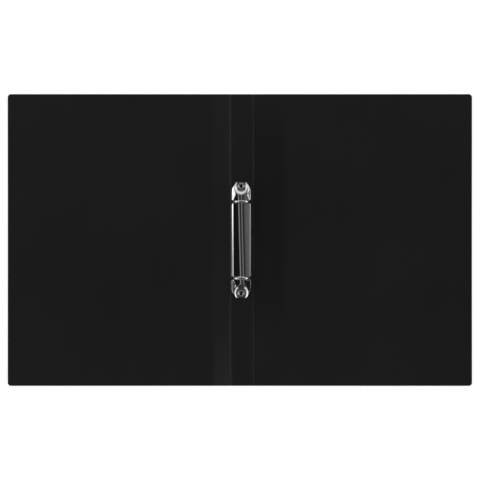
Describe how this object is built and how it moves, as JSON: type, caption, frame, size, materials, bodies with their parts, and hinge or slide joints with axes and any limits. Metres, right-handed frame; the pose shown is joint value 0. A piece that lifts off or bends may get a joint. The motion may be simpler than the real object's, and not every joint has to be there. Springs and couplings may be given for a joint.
{
  "type": "two-ring binder",
  "caption": "Flat open A4 ring binder: two plastic sheet covers hinged to a narrow spine, with a riveted steel plate carrying snap-open wire rings.",
  "frame": {"origin": "centre of the spine's outer face, on the plane that the open binder lies on", "axes": "+X across the open binder from the front cover to the back cover, +Y along the spine towards the top edge, +Z out of the inner faces, the way the rings stand"},
  "size_m": [0.4885, 0.307, 0.0221],
  "materials": {
    "cover_plastic": "black polypropylene sheet, satin, fine grain",
    "bright_nickel": "bright nickel plated steel, polished",
    "rail_steel": "dull nickel plated steel blade"
  },
  "bodies": {
    "spine_unit": {"spine": "cover_plastic", "housing_plate": "bright_nickel", "rivet_upper": "bright_nickel", "rivet_lower": "bright_nickel"},
    "front_cover": {"front_cover": "cover_plastic"},
    "back_cover": {"back_cover": "cover_plastic"},
    "left_rail_unit": {"rail_left": "rail_steel", "ring_upper_left": "bright_nickel", "ring_lower_left": "bright_nickel"},
    "right_rail_unit": {"rail_right": "rail_steel", "ring_upper_right": "bright_nickel", "ring_lower_right": "bright_nickel"}
  },
  "joints": [
    {"name": "front_cover_hinge", "type": "hinge", "parent": "spine_unit", "child": "front_cover", "pos_m": [-0.012, 0, 0.00045], "axis": [0, 1, 0], "range_deg": [0, 90]},
    {"name": "back_cover_hinge", "type": "hinge", "parent": "spine_unit", "child": "back_cover", "pos_m": [0.012, 0, 0.00045], "axis": [0, -1, 0], "range_deg": [0, 90]},
    {"name": "rings_open_left", "type": "hinge", "parent": "spine_unit", "child": "left_rail_unit", "pos_m": [-0.0082, 0, 0.00275], "axis": [0, -1, 0], "range_deg": [0, 10]},
    {"name": "rings_open_right", "type": "hinge", "parent": "spine_unit", "child": "right_rail_unit", "pos_m": [0.0082, 0, 0.00275], "axis": [0, 1, 0], "range_deg": [0, 10]}
  ],
  "couplings": [
    {"joint": "rings_open_right", "follows": "rings_open_left", "ratio": 1}
  ]
}
